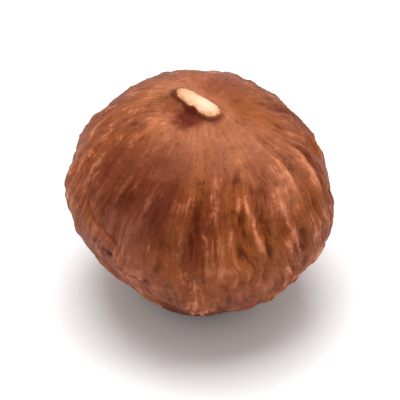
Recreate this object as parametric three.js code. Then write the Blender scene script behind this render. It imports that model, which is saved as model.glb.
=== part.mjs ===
// A hazelnut kernel: the brown-skinned seed out of its shell, standing on its blunt base with its tip up.
// Millimetres, +Z up. The origin is the centre of the kernel's outline, on the small flat that it rests on.

import * as THREE from "three";

// Driving dimensions of the kernel
const WIDTH = 14.8; // across its broad way, along X
const DEPTH = 13.9; // across its narrow way, along Y
const HEIGHT = 14.4; // from the flat to the top of the tip
const WAIST_HEIGHT = 7.0; // where it is widest
const REST_RADIUS = 2.0; // the flat at the blunt end
const CROWN_RADIUS = 1.6; // the nearly level top that the keel stands on
const CROWN_HEIGHT = 13.75;

// The keel: a short ridge over the tip, like the edge of a blunt chisel, set slantwise between X and Y
const KEEL_LENGTH = 4.4;
const KEEL_WIDTH = 1.5;
const KEEL_RISE = 0.55;
const KEEL_FOLD = 0.6; // how strongly the skin dips along the ridge's two feet
const KEEL_TURN = THREE.MathUtils.degToRad(-43);

// The slow swell of the skin round the kernel, as heights over the plain section
const LOBES = [
  { count: 2, rise: 0.07, turn: 0.9, sway: 0.4 },
  { count: 3, rise: 0.08, turn: 2.2, sway: -0.3 },
  { count: 5, rise: 0.06, turn: 0.4, sway: 0.5 },
  { count: 8, rise: 0.06, turn: 1.1, sway: 0.3 },
  { count: 13, rise: 0.05, turn: 4.0, sway: -0.25 },
];
const SWELL_FOOT = 2.4; // it grows from nothing at the flat to its full rise at this height
const SWELL_TOP = 9.5; // from here it dies away again to nothing at the crown

// The sides that pressed on the wall of the shell are a little flatter
const PRESSED_SIDES = [
  { towards: new THREE.Vector3(-0.72, -0.35, -0.6), depth: 0.5 },
  { towards: new THREE.Vector3(0.4, -0.6, -0.7), depth: 0.3 },
  { towards: new THREE.Vector3(0.35, 0.8, 0.1), depth: 0.25 },
];
const PRESSED_REACH = 0.6; // cosine of the angle at which a flattened patch ends

// Fineness of the mesh
const SIDES = 88;
const BELLY_STEPS = 13;
const SHOULDER_STEPS = 15;
const CROWN_STEPS = 5;

const { smoothstep } = THREE.MathUtils;

function at(radius, height) {
  return new THREE.Vector2(radius, height);
}

// Half of the plain upright section, from the middle of the flat round to the middle of the crown.
function outline() {
  const waist = WIDTH / 2;
  const belly = new THREE.CubicBezierCurve(
    at(REST_RADIUS, 0),
    at(REST_RADIUS + 2.3, 0.75),
    at(waist, WAIST_HEIGHT - 3.6),
    at(waist, WAIST_HEIGHT),
  );
  const shoulder = new THREE.CubicBezierCurve(
    at(waist, WAIST_HEIGHT),
    at(waist, WAIST_HEIGHT + 3.4),
    at(CROWN_RADIUS + 3, CROWN_HEIGHT - 0.35),
    at(CROWN_RADIUS, CROWN_HEIGHT),
  );
  const crown = new THREE.QuadraticBezierCurve(
    at(CROWN_RADIUS, CROWN_HEIGHT),
    at(CROWN_RADIUS / 2, CROWN_HEIGHT + 0.1),
    at(0, CROWN_HEIGHT + 0.1),
  );
  return [
    at(0, 0),
    ...belly.getPoints(BELLY_STEPS),
    ...shoulder.getPoints(SHOULDER_STEPS).slice(1),
    ...crown.getPoints(CROWN_STEPS).slice(1),
  ];
}

function swell(angle, height) {
  const fade = smoothstep(height, 0, SWELL_FOOT) * (1 - smoothstep(height, SWELL_TOP, CROWN_HEIGHT));
  const climb = height / HEIGHT;
  let rise = 0;
  for (const lobe of LOBES) {
    rise += lobe.rise * Math.cos(lobe.count * (angle + lobe.sway * climb) + lobe.turn);
  }
  return fade * rise;
}

function addSwell(point) {
  const radius = Math.hypot(point.x, point.y);
  if (radius === 0) return;
  const growth = 1 + swell(Math.atan2(point.y, point.x), point.z) / radius;
  point.x *= growth;
  point.y *= growth;
}

// Lifts the skin into the keel, with a shallow fold along each of its feet.
function raiseKeel(point) {
  if (point.z < WAIST_HEIGHT) return;
  const along = (point.x * Math.cos(KEEL_TURN) + point.y * Math.sin(KEEL_TURN)) / (KEEL_LENGTH / 2);
  const across = (point.y * Math.cos(KEEL_TURN) - point.x * Math.sin(KEEL_TURN)) / (KEEL_WIDTH / 2);
  const ridge = (1 - KEEL_FOLD * across ** 2) * Math.exp(-(across ** 2) / 2);
  point.z += KEEL_RISE * ridge * Math.exp(-(along ** 4));
}

// Moves each pressed side in, and leaves the flat where it is.
function pressSides(point) {
  const heart = new THREE.Vector3(0, 0, HEIGHT / 2);
  const outward = point.clone().sub(heart).normalize();
  const offTheFlat = smoothstep(point.z, 0, SWELL_FOOT);
  for (const side of PRESSED_SIDES) {
    const towards = side.towards.clone().normalize();
    const share = smoothstep(outward.dot(towards), PRESSED_REACH, 1) * offTheFlat;
    point.addScaledVector(towards, -side.depth * share);
  }
}

// Brings the finished shape to its exact size, centred over the origin.
function fitToSize(geometry) {
  geometry.computeBoundingBox();
  const size = geometry.boundingBox.getSize(new THREE.Vector3());
  const centre = geometry.boundingBox.getCenter(new THREE.Vector3());
  geometry.translate(-centre.x, -centre.y, 0);
  geometry.scale(WIDTH / size.x, DEPTH / size.y, HEIGHT / size.z);
}

function kernelGeometry() {
  const geometry = new THREE.LatheGeometry(outline(), SIDES);
  geometry.rotateX(Math.PI / 2); // a lathe turns about Y, and the kernel stands along Z
  const positions = geometry.getAttribute("position");
  const point = new THREE.Vector3();
  for (let i = 0; i < positions.count; i++) {
    point.fromBufferAttribute(positions, i);
    addSwell(point);
    raiseKeel(point);
    pressSides(point);
    positions.setXYZ(i, point.x, point.y, point.z);
  }
  fitToSize(geometry);
  geometry.computeVertexNormals();
  return geometry;
}

const skin = new THREE.MeshStandardMaterial({ color: 0x95543a, roughness: 0.6, metalness: 0 });
const kernel = new THREE.Mesh(kernelGeometry(), skin);
kernel.name = "kernel";

const hazelnut = new THREE.Group();
hazelnut.add(kernel);

export default hazelnut;
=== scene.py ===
# %% [markdown]
# # A hazelnut kernel
#
# A shelled hazelnut is one grown thing: a plump seed in a thin, papery, brown skin. The skin dried a little
# faster than the seed under it, so it lies in wrinkles that run from the tip to the base, the way lines of
# longitude run on a globe. At the very tip it has split, and a sliver of the cream-coloured seed shows.
#
# The packed frame holds the plain form and its exact size. Here that form gets its skin.

# %% Load the frame
import math
import bpy
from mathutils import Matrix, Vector


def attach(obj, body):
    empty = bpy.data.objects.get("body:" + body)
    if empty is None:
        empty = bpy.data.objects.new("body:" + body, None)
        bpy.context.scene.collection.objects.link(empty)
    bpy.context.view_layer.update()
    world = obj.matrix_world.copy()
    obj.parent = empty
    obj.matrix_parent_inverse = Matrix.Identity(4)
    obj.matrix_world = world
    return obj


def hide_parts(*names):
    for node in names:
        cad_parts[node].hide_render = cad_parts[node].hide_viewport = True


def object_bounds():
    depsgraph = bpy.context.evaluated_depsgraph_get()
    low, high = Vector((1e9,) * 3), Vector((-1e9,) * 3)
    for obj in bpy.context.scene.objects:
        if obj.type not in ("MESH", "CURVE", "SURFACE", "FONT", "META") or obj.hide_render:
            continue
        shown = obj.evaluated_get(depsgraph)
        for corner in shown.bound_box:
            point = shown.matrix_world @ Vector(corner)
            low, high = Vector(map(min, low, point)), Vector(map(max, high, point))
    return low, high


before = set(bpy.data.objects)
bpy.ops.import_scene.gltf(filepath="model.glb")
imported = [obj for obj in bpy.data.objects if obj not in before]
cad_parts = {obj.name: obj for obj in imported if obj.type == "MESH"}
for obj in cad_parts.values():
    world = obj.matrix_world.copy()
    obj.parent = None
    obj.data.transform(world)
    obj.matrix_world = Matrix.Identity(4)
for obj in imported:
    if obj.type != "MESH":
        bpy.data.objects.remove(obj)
cad_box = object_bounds()

MM = 1000.0  # millimetres in a metre
low, high = (Vector(corner) for corner in cad_box)
size = high - low
heart = Vector((0.0, 0.0, size.z / 2))
print("the kernel measures", [round(side * MM, 2) for side in size], "mm")


# %% [markdown]
# ## Node trees written as sums
#
# The wrinkles are worked out by nodes, and so are the colours, and a node tree drawn by hand soon turns into
# a tangle. Both kinds of tree use the same Math nodes, so one small class serves both. It wraps a socket,
# and Python's own signs on it add the nodes: `1 - mask * 0.5` makes a multiply node and a subtract node.

# %% A bench that adds nodes, and wires that can be added up
def pick(sockets, key):
    """A socket by its number, or the first one in use with that name."""
    if isinstance(key, int):
        return sockets[key]
    return next(socket for socket in sockets if socket.name == key and socket.enabled)


class Bench:
    """One node tree, and the one way that nodes are put into it."""

    def __init__(self, tree):
        self.tree = tree

    def node(self, kind, settings=None, sockets=None, output=0):
        """Adds a node, makes its settings, fills its sockets, and hands on one of its outputs, or none."""
        made = self.tree.nodes.new(kind)
        for name, value in (settings or {}).items():
            setattr(made, name, value)
        for key, value in (sockets or {}).items():
            self.plug(pick(made.inputs, key), value)
        return None if output is None else Wire(self, pick(made.outputs, output))

    def plug(self, socket, value):
        if isinstance(value, Wire):
            self.tree.links.new(value.socket, socket)
        else:
            socket.default_value = value


class Wire:
    """A number or a vector on its way through a tree. The signs + - * / on it add Math nodes."""

    def __init__(self, bench, socket):
        self.bench = bench
        self.socket = socket

    def maths(self, operation, *others):
        return self.bench.node("ShaderNodeMath", {"operation": operation}, dict(enumerate((self, *others))))

    def __add__(self, other):
        return self.maths("ADD", other)

    def __sub__(self, other):
        return self.maths("SUBTRACT", other)

    def __mul__(self, other):
        return self.maths("MULTIPLY", other)

    def __truediv__(self, other):
        return self.maths("DIVIDE", other)

    def __rsub__(self, other):
        return self.bench.node("ShaderNodeMath", {"operation": "SUBTRACT"}, {0: other, 1: self})

    __radd__ = __add__
    __rmul__ = __mul__


signs = [name.strip("_") for name in ("__add__", "__sub__", "__mul__", "__truediv__") if name in vars(Wire)]
print("a wire understands", signs)


# %% Helpers that read well in a sum
def rise(value, start, end):
    """0 below start, 1 above end, and a smooth climb between them. A start above the end makes it fall."""
    at_lower, at_upper = (0.0, 1.0) if start < end else (1.0, 0.0)
    return value.bench.node("ShaderNodeMapRange", {"interpolation_type": "SMOOTHSTEP"}, {
        "Value": value,
        "From Min": min(start, end),
        "From Max": max(start, end),
        "To Min": at_lower,
        "To Max": at_upper,
    })


def bell(value, width):
    """1 where value is 0, falling away smoothly on both sides over about that width."""
    ratio = value / width
    return (0 - ratio * ratio).maths("EXPONENT")


def blend(share, first, second):
    """The first at a share of 0, the second at a share of 1."""
    return first + (second - first) * share


def split(vector):
    """The x, y and z of a vector, each as a wire of its own."""
    return [vector.bench.node("ShaderNodeSeparateXYZ", None, {0: vector}, axis) for axis in range(3)]


def join(bench, x, y, z):
    return bench.node("ShaderNodeCombineXYZ", None, {0: x, 1: y, 2: z})


def dot(vector, fixed):
    """How far a vector reaches along a fixed direction."""
    bench = vector.bench
    return bench.node("ShaderNodeVectorMath", {"operation": "DOT_PRODUCT"}, {0: vector, 1: fixed}, "Value")


falls = [round(math.exp(-steps ** 2), 2) for steps in range(3)]
print("at 0, 1 and 2 times its width, a bell is", falls)


# %% [markdown]
# ## The body of the kernel
#
# The packed form is a fan of flat triangles, drawn in to a point at both ends: fine for weighing and
# measuring, too coarse for skin. Wrinkles need a dense mesh whose squares are all about the same size, and a
# globe's grid crowds at its poles. A cube cut into a fine grid and blown up into a ball has no poles. It is
# then pulled in, like cling film, onto a rounded copy of the packed form.

# %% A rounded copy of the packed form
def deselect_all():
    bpy.ops.object.select_all(action="DESELECT")


def make_active(piece):
    deselect_all()
    piece.select_set(True)
    bpy.context.view_layer.objects.active = piece


def add_modifier(piece, kind, settings):
    modifier = piece.modifiers.new(kind.lower(), kind)
    for name, value in settings.items():
        setattr(modifier, name, value)
    return modifier


def apply_modifier(piece, kind, settings):
    modifier = add_modifier(piece, kind, settings)
    make_active(piece)
    bpy.ops.object.modifier_apply(modifier=modifier.name)


MERGE_DISTANCE = 0.000002
QUAD_BEND = math.radians(40)
QUAD_SKEW = math.radians(60)
ROUNDING_LEVELS = 2

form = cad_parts["kernel"].copy()
form.data = form.data.copy()
form.name = "rounded_form"
bpy.context.scene.collection.objects.link(form)
make_active(form)
bpy.ops.object.mode_set(mode="EDIT")
bpy.ops.mesh.select_all(action="SELECT")
bpy.ops.mesh.remove_doubles(threshold=MERGE_DISTANCE)
bpy.ops.mesh.tris_convert_to_quads(face_threshold=QUAD_BEND, shape_threshold=QUAD_SKEW)
bpy.ops.object.mode_set(mode="OBJECT")
apply_modifier(form, "SUBSURF", {"levels": ROUNDING_LEVELS, "render_levels": ROUNDING_LEVELS})
print("the rounded form has", len(form.data.polygons), "faces")

# %% A cube with its skin laid out flat, blown up into a ball
CUTS = (63, 1)  # along each edge, in two rounds, because one round stops at 100
UV_MARGIN = 0.01
BALL_DIAMETER = max(size) * 1.3  # wide enough to close in on the form from outside

deselect_all()
bpy.ops.mesh.primitive_cube_add(size=BALL_DIAMETER, location=heart)
kernel = bpy.context.object
kernel.name = "hazelnut_kernel"
skin_map = kernel.data.uv_layers[0]
skin_map.name = "OFBake"
# the six sides lie in three columns and two rows, with a margin round each
for number, face in enumerate(kernel.data.polygons):
    column, row = number % 3, number // 3
    for corner, loop in enumerate(face.loop_indices):
        across = UV_MARGIN if corner in (0, 3) else 1 - UV_MARGIN
        up = UV_MARGIN if corner in (0, 1) else 1 - UV_MARGIN
        skin_map.data[loop].uv = ((column + across) / 3, (row + up) / 2)
bpy.ops.object.mode_set(mode="EDIT")
bpy.ops.mesh.select_all(action="SELECT")
for cuts in CUTS:
    bpy.ops.mesh.subdivide(number_cuts=cuts)
bpy.ops.object.mode_set(mode="OBJECT")
apply_modifier(kernel, "CAST", {
    "cast_type": "SPHERE",
    "factor": 1.0,
    "size": BALL_DIAMETER / 2,
    "use_radius_as_size": False,
})
bpy.ops.object.transform_apply(location=True, rotation=True, scale=True)
bpy.ops.object.shade_smooth()
print("the ball has", len(kernel.data.polygons), "faces")

# %% Draw the ball in onto the form
apply_modifier(kernel, "SHRINKWRAP", {
    "target": form,
    "wrap_method": "PROJECT",
    "use_positive_direction": False,
    "use_negative_direction": True,
})
apply_modifier(kernel, "SMOOTH", {"factor": 0.5, "iterations": 6})
bpy.data.objects.remove(form)
reach = [max(vertex.co[axis] for vertex in kernel.data.vertices) for axis in range(3)]
print("drawn in, it reaches", [round(length * MM, 2) for length in reach], "mm")


# %% [markdown]
# ## The wrinkles
#
# The skin of a hazelnut kernel is a papery bag with its veins still in it. As it dries it shrinks into long
# ridges and furrows, and all of them run from the tip to the base. A sculptor would draw each one with a
# brush. Here a Geometry Nodes modifier works out, for every point of the skin, how far to push it in or out,
# because the same sums can then also tell the material where the crests are.
#
# Most layers are noise that has been drawn out lengthwise. The trick is the place at which the noise is
# read: the way round the kernel is given as a point on a circle, so that the pattern meets itself with no
# seam, and the way down from the tip is squeezed, which stretches the pattern.

# %% Noise and cells
def noise(place, scale, detail=1.0, roughness=0.5):
    return place.bench.node("ShaderNodeTexNoise", None, {
        "Vector": place, "Scale": scale, "Detail": detail, "Roughness": roughness})


def cells(place):
    """How far a point is from the nearest border, in a pattern of cells about 1 across."""
    return place.bench.node("ShaderNodeTexVoronoi", {"feature": "DISTANCE_TO_EDGE"}, {
        "Vector": place, "Scale": 1.0})


# %% Where on the skin a point is, in millimetres and radians
SLOW_SWAY = 0.7
QUICK_SWAY = 0.1


class Spot:
    """A point of the skin: its place from the heart, how far round it is and how far down from the tip."""

    def __init__(self, place):
        self.place = place
        self.facing = place.bench.node("ShaderNodeVectorMath", {"operation": "NORMALIZE"}, {0: place})
        self.x, self.y, self.z = split(place)
        self.off_axis = (self.x * self.x + self.y * self.y).maths("SQRT")
        self.down = self.off_axis.maths("ARCTAN2", self.z)
        sway = (noise(place, 0.11) - 0.5) * SLOW_SWAY + (noise(place, 0.55) - 0.5) * QUICK_SWAY
        self.turn = self.y.maths("ARCTAN2", self.x) + sway

    def drawn_out(self, around, along, seed):
        """Where to read a pattern so that it comes out as streaks. More around makes them narrower."""
        return join(self.place.bench, self.turn.maths("COSINE") * around + seed,
                    self.turn.maths("SINE") * around, self.down * along)


def streaky(spot, around, along, seed, detail=1.0, roughness=0.5):
    """Noise from about -0.5 to 0.5, in streaks from the tip to the base."""
    return noise(spot.drawn_out(around, along, seed), 1.0, detail, roughness) - 0.5


def mottled(spot, scale, detail=1.0, roughness=0.5):
    """Noise from about -0.5 to 0.5, in spots. A larger scale makes them smaller."""
    return noise(spot.place, scale, detail, roughness) - 0.5


print("the flow of the skin sways by up to", round(math.degrees((SLOW_SWAY + QUICK_SWAY) / 2)), "degrees")


# %% [markdown]
# ## The strokes that make this kernel this one
#
# Noise gives a kernel, and a few listed strokes give this kernel. A stroke runs straight between two
# places on the skin, each told as degrees round from the kernel's right and degrees down from its tip. It
# either lifts the skin into a ridge or, with a minus sign, presses a furrow into it. Straight strokes would
# look ruled, so each one wanders a little, and it dies away towards both of its ends.

# %% Strokes, listed one by one
STROKES = [
    # from (round, down) to (round, down), half width in mm, lift in mm
    ((-86, 42), (-96, 80), 0.34, -0.30),
    ((-95, 42), (-103, 82), 0.34, 0.18),
    ((-73, 40), (-69, 88), 0.32, -0.28),
    ((-56, 50), (-57, 98), 0.30, -0.24),
    ((-67, 42), (-60, 88), 0.34, 0.22),
    ((-81, 54), (-83, 96), 0.42, 0.19),
    ((-52, 29), (-47, 64), 0.26, -0.17),
    ((-30, 20), (-37, 66), 0.40, 0.17),
    ((-24, 40), (-28, 84), 0.30, -0.17),
    ((-14, 44), (-17, 76), 0.32, 0.15),
    ((-8, 40), (-6, 92), 0.30, -0.14),
    ((1, 34), (2, 66), 0.32, 0.14),
    ((-44, 50), (-45, 92), 0.32, 0.16),
    ((-36, 70), (-38, 100), 0.26, -0.14),
    ((-106, 62), (-112, 96), 0.28, -0.13),
    ((-101, 82), (-103, 99), 0.50, 0.16),
    ((-160, 70), (-124, 86), 0.18, -0.15),
    ((-152, 79), (-114, 94), 0.30, 0.12),
    ((-144, 86), (-106, 101), 0.20, -0.14),
    ((11, 49), (4, 60), 0.18, 0.10),
    ((-95, 106), (-95, 144), 0.45, -0.12),
    ((18, 30), (24, 74), 0.30, -0.14),
    ((52, 46), (47, 104), 0.36, -0.16),
    ((74, 48), (80, 96), 0.42, 0.14),
    ((98, 50), (105, 100), 0.36, -0.16),
    ((138, 50), (133, 108), 0.36, -0.15),
    ((158, 46), (152, 96), 0.42, 0.13),
    ((176, 44), (186, 90), 0.34, -0.14),
]
print(len(STROKES), "strokes,", sum(lift > 0 for *ends, lift in STROKES), "of them ridges")


# %% The sum for one stroke
MEAN_RADIUS = round(heart.z * MM, 1)
STROKE_WANDER = 1.1
STROKE_CORE = 0.35  # the share of its length that has the full lift


def towards(around, down):
    """The direction from the heart to a place on the skin, told in degrees."""
    around, down = math.radians(around), math.radians(down)
    return Vector((math.cos(around) * math.sin(down), math.sin(around) * math.sin(down), math.cos(down)))


def stroke(spot, start, end, half_width, lift):
    first, last = towards(*start), towards(*end)
    middle = (first + last).normalized()
    side = first.cross(last).normalized()
    forward = side.cross(middle)
    reach = first.angle(last) / 2
    aside = dot(spot.facing, side) * MEAN_RADIUS + mottled(spot, 0.6, 3.0) * STROKE_WANDER
    along = dot(spot.facing, forward).maths("ARCTAN2", dot(spot.facing, middle)).maths("ABSOLUTE")
    return bell(aside, half_width) * rise(along, reach, reach * STROKE_CORE) * lift


lengths = [towards(*start).angle(towards(*end)) * MEAN_RADIUS for start, end, *rest in STROKES]
print("the strokes are", round(min(lengths), 1), "to", round(max(lengths), 1), "mm long")


# %% [markdown]
# ## The tip
#
# The skin is drawn together into a low keel over the tip, and along the keel it has split. The split shows
# as a sliver of the pale seed with a torn brown edge, and the skin dips into a fold along each side of it.
# The split could be a piece of its own, but on the kernel the skin and the seed are grown together. So one
# sum says how deep inside the split a point lies. It lifts the rim of torn skin here, and the material below
# uses the same sum to turn from brown to cream, so that shape and colour can't drift apart.

# %% The keel and the split along it, in millimetres
KEEL_TURN = math.radians(-39)
SPLIT_LENGTH = 2.9
SPLIT_MIDDLE = -0.16  # along the keel, from the kernel's axis
SPLIT_WIDTH = 1.0
TORN_LIFT = 0.05
KEEL_LIFT = 0.06
FOLD_DEPTH = 0.16
FAR_FOLD_DEPTH = 0.04
KEEL_FOOT = 5.0  # above the heart
WELL_OUTSIDE = 100  # taken off below the keel, so that nothing there counts as split


def along_keel(spot):
    return dot(spot.place, (math.cos(KEEL_TURN), math.sin(KEEL_TURN), 0.0))


def across_keel(spot):
    return dot(spot.place, (-math.sin(KEEL_TURN), math.cos(KEEL_TURN), 0.0))


def split_depth(spot):
    """How far inside the split a point is: 0 on its torn edge, up to 1 in the middle, below 0 outside."""
    along = (along_keel(spot) - SPLIT_MIDDLE) / (SPLIT_LENGTH / 2)
    taper = along * 0.22 + 0.86
    ends = along * along
    across = (across_keel(spot) + mottled(spot, 0.9) * 0.5) / taper / (SPLIT_WIDTH / 2)
    ragged = mottled(spot, 1.7, 4.0, 0.7) * 1.5
    inside = 1 - ends * ends - across * across + ragged
    return inside - rise(spot.z, KEEL_FOOT, KEEL_FOOT - 1) * WELL_OUTSIDE


def tip_lift(spot):
    """The keel, the deep fold in front of it and the slight one behind, in millimetres."""
    along, across = along_keel(spot).maths("ABSOLUTE"), across_keel(spot)
    keel = bell(across, 0.60) * rise(along, 2.6, 1.0) * KEEL_LIFT
    fold = bell(across + 0.80, 0.36) * rise(along, 2.2, 0.5) * FOLD_DEPTH
    far_fold = bell(across - 0.95, 0.40) * rise(along, 1.8, 0.5) * FAR_FOLD_DEPTH
    return (keel - fold - far_fold) * rise(spot.z, KEEL_FOOT - 1, KEEL_FOOT + 0.5)


def torn_lift(spot):
    """The curled rim of the torn skin, and the seed swelling a little out of the split."""
    inside = split_depth(spot)
    return (bell(inside + 0.25, 0.4) + rise(inside, 0.3, 1.0)) * TORN_LIFT


print("the split is", SPLIT_LENGTH, "mm long, turned", round(math.degrees(KEEL_TURN)), "degrees")


# %% [markdown]
# ## The layers of the relief
#
# From broad to fine: a slow swell, ridges about a millimetre and a half across, plates with furrows between
# them, thin raised veins, fine pleats, and a pebbled surface over all. Near the tip and the base the streaks
# crowd together, finer than the mesh could hold, so the fine layers fade out there and fewer, broader folds
# take over. The skin is more wrinkled on one side than on the other, as it is on most kernels, and where the
# kernel pressed on the wall of its shell it grew a little flatter. Most layers have two heights, one for
# calm skin and one for the liveliest, and a blend picks what lies between.

# %% How lively each part of the skin is
WRINKLED_SIDE = towards(-40, 75)
SIDE_SHARE = 0.13  # how much livelier the wrinkled side is than the rest
EARLY_START = 0.40  # how much nearer to the tip its wrinkles start, in radians


def wrinkled_side(spot):
    return dot(spot.facing, WRINKLED_SIDE)


def liveliness(spot):
    """From 0 where the skin lies smooth to 1 where it is wrinkled most."""
    return rise(mottled(spot, 0.2) + wrinkled_side(spot) * SIDE_SHARE, -0.12, 0.12)


def off_the_ends(spot):
    """0 at the very tip and the very base, 1 between them. Wrinkles start sooner on the wrinkled side."""
    return rise(spot.down + wrinkled_side(spot) * EARLY_START, 0.35, 1.05) * rise(spot.down, 3.0, 2.5)


print("the skin is most wrinkled towards", [round(part, 2) for part in WRINKLED_SIDE])


# %% The ridges and furrows, in millimetres
# the height of each layer on calm skin, and on the liveliest
RIDGE_HEIGHTS = (0.32, 0.62)
PLATE_HEIGHTS = (0.08, 0.15)
VEIN_HEIGHTS = (0.05, 0.10)
PLEAT_HEIGHTS = (0.17, 0.25)
PEBBLE_HEIGHT = 0.10
MIDDLE_HEIGHT = 0.12  # taken off again, so that the skin as a whole is neither lifted nor sunk
FURROW_SHARE = 0.30  # of a plate's width, on each side of the border between two
TIP_SHARE = 0.6  # how high the plates at the tip are, next to those on the belly


def folds(spot, roomy):
    """Long plates with narrow furrows between them, from 0 in a furrow to 1 on a plate."""
    belly = rise(cells(spot.drawn_out(11.0, 1.6, seed=7.0)), 0.0, FURROW_SHARE)
    tip = rise(cells(spot.drawn_out(4.5, 1.6, seed=13.0)), 0.0, FURROW_SHARE)
    return blend(roomy, tip * TIP_SHARE, belly)


def crests(spot):
    """The ridges and furrows that the colour follows too."""
    lively = liveliness(spot)
    roomy = rise(spot.off_axis, 3.4, 6.0)
    ridges = streaky(spot, 6.5, 0.9, seed=11.0, detail=1.5) * blend(lively, *RIDGE_HEIGHTS)
    plates = folds(spot, roomy) * blend(lively, *PLATE_HEIGHTS)
    veins = bell(cells(spot.drawn_out(16.0, 2.0, seed=19.0)), 0.17) * blend(lively, *VEIN_HEIGHTS) * roomy
    pleats = streaky(spot, 19.0, 3.0, seed=23.0, detail=1.5, roughness=0.55)
    pleats = pleats * blend(lively, *PLEAT_HEIGHTS) * roomy
    total = ridges + plates + veins + pleats - MIDDLE_HEIGHT
    for numbers in STROKES:
        total = total + stroke(spot, *numbers)
    pebbles = mottled(spot, 1.9, 2.5, 0.6) * PEBBLE_HEIGHT
    return total * off_the_ends(spot) + pebbles


print("the tallest ridges of noise rise", RIDGE_HEIGHTS[1] / 2, "mm over the plain skin")


# %% The slow swell and the pressed sides, in millimetres
SWELL_HEIGHT = 0.20
PRESSED_SIDES = [
    # where, reach in degrees, depth in mm
    (towards(-140, 122), 37, 0.32),
    (towards(-92, 135), 28, 0.20),
]


def swell(spot):
    """The slow rise and fall of the skin, which the colour doesn't follow."""
    total = streaky(spot, 2.6, 0.8, seed=3.0) * SWELL_HEIGHT * off_the_ends(spot)
    for where, reach, depth in PRESSED_SIDES:
        total = total - rise(dot(spot.facing, where), math.cos(math.radians(reach)), 1.0) * depth
    return total


print("the pressed sides lie in by up to", max(depth for *place, depth in PRESSED_SIDES), "mm")


# %% Push the skin in and out
# heights over the floor in mm: the relief starts at the first and is whole from the second
FLAT_EDGE = 0.02
FULL_RELIEF_HEIGHT = 1.2


def wrinkle_tree():
    """Moves the skin, and leaves on each point its crest and the place that it was moved from."""
    tree = bpy.data.node_groups.new("wrinkles", "GeometryNodeTree")
    tree.interface.new_socket("Geometry", in_out="INPUT", socket_type="NodeSocketGeometry")
    tree.interface.new_socket("Geometry", in_out="OUTPUT", socket_type="NodeSocketGeometry")
    bench = Bench(tree)
    position = bench.node("GeometryNodeInputPosition")
    from_heart = bench.node("ShaderNodeVectorMath", {"operation": "SUBTRACT"}, {0: position, 1: heart})
    place = bench.node("ShaderNodeVectorMath", {"operation": "SCALE"}, {0: from_heart, "Scale": MM})
    spot = Spot(place)
    height = spot.z + heart.z * MM
    off_floor = rise(height, FLAT_EDGE, FULL_RELIEF_HEIGHT)
    crest = crests(spot) * off_floor
    lift = crest + swell(spot) * off_floor + tip_lift(spot) + torn_lift(spot)
    outward = bench.node("GeometryNodeInputNormal")
    push = bench.node("ShaderNodeVectorMath", {"operation": "SCALE"}, {
        0: outward, "Scale": lift * (1 / MM)})
    skin = bench.node("NodeGroupInput")
    for kind, name, value in (("FLOAT_VECTOR", "flat_place", place), ("FLOAT", "crest", crest)):
        skin = bench.node("GeometryNodeStoreNamedAttribute", {"data_type": kind, "domain": "POINT"}, {
            "Geometry": skin, "Name": name, "Value": value})
    moved = bench.node("GeometryNodeSetPosition", None, {"Geometry": skin, "Offset": push})
    bench.node("NodeGroupOutput", None, {0: moved}, None)
    return tree


apply_modifier(kernel, "NODES", {"node_group": wrinkle_tree()})
heights = sorted(value.value for value in kernel.data.attributes["crest"].data)
print("the wrinkles run from", round(heights[0], 2), "to", round(heights[-1], 2), "mm")


# %% [markdown]
# ## The skin's colour
#
# Close to, the skin isn't one brown. The furrows are dark, with painted shade in them, and the crests, which
# have been rubbed against other kernels, are worn to a tawny rose that also carries a painted highlight.
# Whole stretches are redder or more golden, thin pale veins and dark cracks run down the length, and a fine
# scurf covers everything. Painting all of that by hand would take a day. Here every cue that should lighten
# or darken the skin is added up to one number, its tone, and the tone chooses the colour. The crest that the
# wrinkles left on the mesh is the strongest cue: it paints the shade into the furrows and the highlights on
# the crests.

# %% The colours
def linear(red, green, blue):
    """A colour as picked on a screen, from 0 to 255, made into the light that Blender works in."""
    def light(value):
        value = value / 255
        return value / 12.92 if value <= 0.04045 else ((value + 0.055) / 1.055) ** 2.4
    return (light(red), light(green), light(blue), 1.0)


SKIN_BROWN = linear(123, 54, 24)
SKIN_OCHRE = linear(147, 76, 31)
SKIN_TAWNY = linear(177, 94, 57)
# worn rose of the crests, also used as painted highlight and painted light on the top
SKIN_ROSE_WEAR_AND_LIGHT = linear(224, 146, 106)
# the skin's own dark marks, and also painted shade in furrows and below the split
SKIN_DARK_AND_SHADE = linear(80, 23, 4)
SKIN_MAROON = linear(94, 36, 22)
# painted shade for the fold below the near side of the split
PAINTED_FOLD_SHADE = linear(96, 28, 10)
# painted bounce light: the pinkish grey that the white floor lends the underside
SKIN_DUSKY_BOUNCE_LIGHT = linear(156, 90, 66)
FLESH = linear(234, 198, 164)
FLESH_PEACH = linear(218, 168, 126)
FLESH_EDGE = linear(190, 128, 82)
SCAR_TAN = linear(142, 92, 62)


def mix_colour(share, first, second):
    return share.bench.node("ShaderNodeMix", {"data_type": "RGBA"}, {
        "Factor": share, "A": first, "B": second}, "Result")


print("mid grey on a screen is", round(linear(128, 128, 128)[0], 3), "of the light of white")


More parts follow.
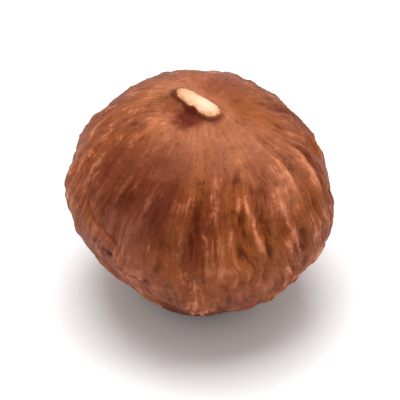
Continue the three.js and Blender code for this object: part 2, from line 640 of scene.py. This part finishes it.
# %% Stains, and patches of painted light and shade among them
STAINS_AND_LIGHT_PATCHES = [
    # round, down, reach in degrees, colour, share
    (-132, 54, 34, SKIN_MAROON, 0.70),
    # painted shade: a darker middle on the near side, turned away from the lamp
    (-96, 62, 24, SKIN_DARK_AND_SHADE, 0.32),
    (-118, 88, 34, SKIN_MAROON, 0.30),
    # painted highlights, these two: rose on the dome below the tip and on the upper right flank
    (-85, 26, 26, SKIN_ROSE_WEAR_AND_LIGHT, 0.12),
    (-30, 44, 32, SKIN_ROSE_WEAR_AND_LIGHT, 0.30),
    (-72, 82, 24, SKIN_OCHRE, 0.45),
    # painted bounce light: the underside at the lower left, pinkish grey
    (-130, 98, 38, SKIN_DUSKY_BOUNCE_LIGHT, 0.50),
    (4, 27, 20, SKIN_OCHRE, 0.45),
    (12, 22, 10, SKIN_OCHRE, 0.70),
    (55, 24, 16, SKIN_BROWN, 0.55),
    # painted shade: the dark fold below the near end of the split
    (-138, 8, 10, PAINTED_FOLD_SHADE, 1.00),
    (160, 14, 8, SKIN_BROWN, 0.60),
    (40, 70, 30, SKIN_OCHRE, 0.40),
    (130, 60, 34, SKIN_MAROON, 0.50),
]


def stain_and_light_patch(spot, around, down, reach):
    """1 in the middle of a patch, stain and painted light alike, falling to 0 at its ragged edge."""
    edge = math.cos(math.radians(reach))
    ragged = mottled(spot, 12 / reach, 3.0) * (1 - edge) * 1.6
    return rise(dot(spot.facing, towards(around, down)) + ragged, edge, 1.0)


print(len(STAINS_AND_LIGHT_PATCHES), "stains laid by hand")


# %% The tone: what lightens or darkens the skin
def fine_streaks(spot):
    return streaky(spot, 24.0, 2.2, seed=5.0, detail=4.0, roughness=0.7)


def scurf(spot):
    return mottled(spot, 3.4, 3.0, 0.7)


def tone(spot, crest):
    """One number for how light or dark the skin is at a point, about 0 for plain skin."""
    clouds = mottled(spot, 0.9, 3.0)
    some_veins = rise(mottled(spot, 0.8, 2.0), -0.10, 0.15)
    veins = bell(cells(spot.drawn_out(26.0, 3.0, seed=41.0)), 0.22) * some_veins
    some_cracks = rise(mottled(spot, 0.7, 2.0), 0.10, -0.15)
    cracks = bell(cells(spot.drawn_out(19.0, 2.4, seed=57.0)), 0.14) * some_cracks
    speckle = streaky(spot, 11.0, 8.0, seed=9.0, detail=4.0, roughness=0.72)
    # the smooth side is the more speckled one, and in the lower half the crests' wear and painted light
    # and the furrows' painted shade are stronger
    flecks = (speckle * 1.2 + scurf(spot)) * (1.6 - wrinkled_side(spot) * 0.6)
    # painted shade and highlight: furrows darken and crests lighten the tone, over the crests' own wear
    relief = crest * (rise(spot.down, 1.2, 1.8) * 1.4 + 2.2)
    return relief + fine_streaks(spot) * 1.2 + flecks + clouds * 1.6 + veins * 0.35 - cracks * 0.40


# %% The colour that the tone chooses
# the tones between which each colour comes in
TAWNY_TONES = (-0.05, 0.60)
ROSE_LIGHT_TONES = (0.10, 1.25)
DARK_SHADE_TONES = (0.00, -1.20)


def skin_colour(spot, crest):
    """Brown to ochre in broad stretches, painted bounce light low down, painted top light at the tip, then
    tone and patches.
    """
    tone_here = tone(spot, crest)
    stretches = rise(streaky(spot, 3.0, 1.0, seed=31.0, detail=2.0), -0.14, 0.14)
    colour = mix_colour(stretches, SKIN_BROWN, SKIN_OCHRE)
    # painted bounce light: duller and pinker low down, where the white floor lights the underside
    colour = mix_colour(rise(spot.down, 1.3, 2.2) * 0.30, colour, SKIN_DUSKY_BOUNCE_LIGHT)
    # painted light: rosier on the top towards the tip, which faces the lamp
    colour = mix_colour(rise(spot.down, 0.80, 0.20) * 0.30, colour, SKIN_ROSE_WEAR_AND_LIGHT)
    # high tones, above all on the crests, turn tawny and then rose: worn skin with a painted highlight
    colour = mix_colour(rise(tone_here, *TAWNY_TONES) * 0.7, colour, SKIN_TAWNY)
    colour = mix_colour(rise(tone_here, *ROSE_LIGHT_TONES) * 0.9, colour, SKIN_ROSE_WEAR_AND_LIGHT)
    for around, down, reach, tint, share in STAINS_AND_LIGHT_PATCHES:
        colour = mix_colour(stain_and_light_patch(spot, around, down, reach) * share, colour, tint)
    # low tones, above all in the furrows, turn dark: painted shade there, and the skin's own dark cracks
    return mix_colour(rise(tone_here, *DARK_SHADE_TONES) * 0.8, colour, SKIN_DARK_AND_SHADE)


print("the skin turns rose from a tone of", ROSE_LIGHT_TONES[0], "up, and dark from", DARK_SHADE_TONES[0], "down")


# %% [markdown]
# ## The scar and the split
#
# Two places aren't skin. At the base is the scar where the kernel hung in its shell, a rough, dull disc with
# a dark rim. At the tip is the split, where the cream seed shows. The air has browned its torn edge, and on
# the near side, where the skin turns in, a wider band of painted shade darkens it further. Both are mixed
# over the skin's colour in the same material, since on the kernel neither has a clean edge that a second
# material could stop at.

# %% The colours of the scar and of the split
SCAR_EDGE = math.radians(160)


def add_scar(spot, colour):
    """A dark rim first, and flaky tan inside it."""
    roughened = scurf(spot)
    scar = spot.down - SCAR_EDGE + roughened * 0.30 + mottled(spot, 0.7) * 0.25
    colour = mix_colour(bell(scar + 0.06, 0.10) * 0.7, colour, SKIN_DARK_AND_SHADE)
    flaky = rise(roughened * 1.5 + fine_streaks(spot), -0.30, 0.35)
    return mix_colour(rise(scar, 0.0, 0.14) * flaky * 0.85, colour, SCAR_TAN)


def add_split(spot, colour):
    """A browned edge, widened by painted shade on the near side, then the flesh, peach at one end, darker at
    its rim.
    """
    inside = split_depth(spot)
    roughened = mottled(spot, 2.6, 3.0, 0.7)
    near_side = rise(across_keel(spot) + roughened * 0.6, 0.4, -0.4)
    # the torn edge browned all round, and painted shade under it on the near side, where the fold lies
    browned_edge_and_shade = bell(inside + blend(near_side, 0.35, 0.70), 0.9) * blend(near_side, 0.35, 0.85)
    colour = mix_colour(browned_edge_and_shade, colour, SKIN_DARK_AND_SHADE)
    flesh = mix_colour(rise(along_keel(spot) + roughened * 1.5, -1.1, 0.1), FLESH_PEACH, FLESH)
    flesh = mix_colour(rise(inside + roughened * 0.8, -0.05, 0.85), FLESH_EDGE, flesh)
    return mix_colour(rise(inside, 0.0, 0.12), colour, flesh)


print("the scar is about", round(2 * MEAN_RADIUS * math.sin(SCAR_EDGE), 1), "mm across")


# %% [markdown]
# ## The finish
#
# The skin is dull, with a faint sheen on its smoother streaks, so the roughness follows the streaks. Under a
# lens it has a fibrous grain, too fine for the mesh, and that is what a bump is good for: it changes how the
# light falls and leaves the outline alone.

# %% Skin material
GRAIN_DEPTH = 0.00014
DULLNESS = 0.5
SHEEN_SPREAD = 0.3
SHINE = 0.12


def skin_material():
    material = bpy.data.materials.new("kernel_skin")
    material.use_nodes = True
    material.node_tree.nodes.clear()
    bench = Bench(material.node_tree)
    spot = Spot(bench.node("ShaderNodeAttribute", {"attribute_name": "flat_place"}, None, "Vector"))
    crest = bench.node("ShaderNodeAttribute", {"attribute_name": "crest"}, None, "Fac")
    colour = add_split(spot, add_scar(spot, skin_colour(spot, crest)))
    fibres = streaky(spot, 60.0, 14.0, seed=2.0, detail=2.0, roughness=0.6)
    fibres = fibres * rise(spot.off_axis, 0.6, 2.4)
    grain = fibres * 0.6 + mottled(spot, 7.0, 3.0, 0.6) * 0.4
    bump = bench.node("ShaderNodeBump", None, {"Height": grain, "Strength": 1.0, "Distance": GRAIN_DEPTH})
    roughness = DULLNESS - fine_streaks(spot) * SHEEN_SPREAD
    surface = bench.node("ShaderNodeBsdfPrincipled", None, {
        "Base Color": colour, "Roughness": roughness, "Specular IOR Level": SHINE, "Normal": bump})
    bench.node("ShaderNodeOutputMaterial", None, {"Surface": surface}, None)
    return material


kernel.data.materials.clear()
kernel.data.materials.append(skin_material())
print("the skin's material has", len(kernel.data.materials[0].node_tree.nodes), "nodes")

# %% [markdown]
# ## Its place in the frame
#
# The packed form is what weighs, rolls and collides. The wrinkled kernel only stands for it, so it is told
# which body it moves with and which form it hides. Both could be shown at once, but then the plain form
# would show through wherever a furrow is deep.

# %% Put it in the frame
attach(kernel, "root")
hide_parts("kernel")
print("the kernel rides on root, and stands for the packed form")


# %% [markdown]
# ## The studio
#
# A kernel is best looked at the way a seed catalogue shows it: alone on white, under one broad, soft light
# from above. The white world fills the shadows, and a square lamp high up gives the kernel its form and the
# soft shadow at its foot. The lamp is close and wide for a thing this small, which is what makes the light
# soft: the size of a lamp counts only against its distance.

# %% Floor
FLOOR_SIDE = 1.2
FLOOR_WHITE = 0.86

deselect_all()
bpy.ops.mesh.primitive_plane_add(size=FLOOR_SIDE, location=(0, 0, low.z))
floor = bpy.context.object
floor.name = "floor"
bpy.ops.object.transform_apply(location=True)
white = bpy.data.materials.new("floor_white")
white.use_nodes = True
shader = white.node_tree.nodes["Principled BSDF"]
shader.inputs["Base Color"].default_value = (FLOOR_WHITE, FLOOR_WHITE, FLOOR_WHITE, 1.0)
shader.inputs["Roughness"].default_value = 0.9
shader.inputs["Specular IOR Level"].default_value = 0.2
floor.data.materials.append(white)
print("the floor is", FLOOR_SIDE, "m wide")

# %% Light
FILL_STRENGTH = 0.66
LAMP_PLACE = Vector((-0.02, 0.06, 0.50))
LAMP_SIDE = 0.34
LAMP_WATTS = 2.65

world = bpy.data.worlds.new("studio")
bpy.context.scene.world = world
world.use_nodes = True
background = world.node_tree.nodes["Background"]
background.inputs["Color"].default_value = (1.0, 1.0, 1.0, 1.0)
background.inputs["Strength"].default_value = FILL_STRENGTH

facing_kernel = (heart - LAMP_PLACE).to_track_quat("-Z", "Y").to_euler()
deselect_all()
bpy.ops.object.light_add(type="AREA", location=LAMP_PLACE, rotation=facing_kernel)
lamp = bpy.context.object
lamp.name = "soft_box"
lamp.data.shape = "SQUARE"
lamp.data.size = LAMP_SIDE
lamp.data.energy = LAMP_WATTS
spread = 2 * math.degrees(math.atan(LAMP_SIDE / 2 / (LAMP_PLACE - heart).length))
print("seen from the kernel, the lamp is", round(spread), "degrees wide")

# %% [markdown]
# ## The camera
#
# It looks down at half a right angle, so that the tip with its split and the round belly both show. A long
# lens from half a metre away keeps the kernel's shape true, with no bulge towards the camera.

# %% Camera
CAMERA_LIFT = math.radians(45)
CAMERA_DISTANCE = 0.52
LENS = 850
AIM_HEIGHT = size.z * 0.47

aim_point = Vector((0.0, 0.0, AIM_HEIGHT))
stand = aim_point + CAMERA_DISTANCE * Vector((0, -math.cos(CAMERA_LIFT), math.sin(CAMERA_LIFT)))
deselect_all()
bpy.ops.object.camera_add(location=stand, rotation=(math.pi / 2 - CAMERA_LIFT, 0, 0))
camera = bpy.context.object
camera.data.lens = LENS
camera.data.clip_start = 0.01
bpy.context.scene.camera = camera
bpy.context.scene.view_settings.view_transform = "Standard"
view_width = CAMERA_DISTANCE * camera.data.sensor_width / LENS
print("the kernel fills", round(100 * size.x / view_width), "percent of the view's width")

# %% [markdown]
# ## The size
#
# The relief may not make the kernel bigger than it is.
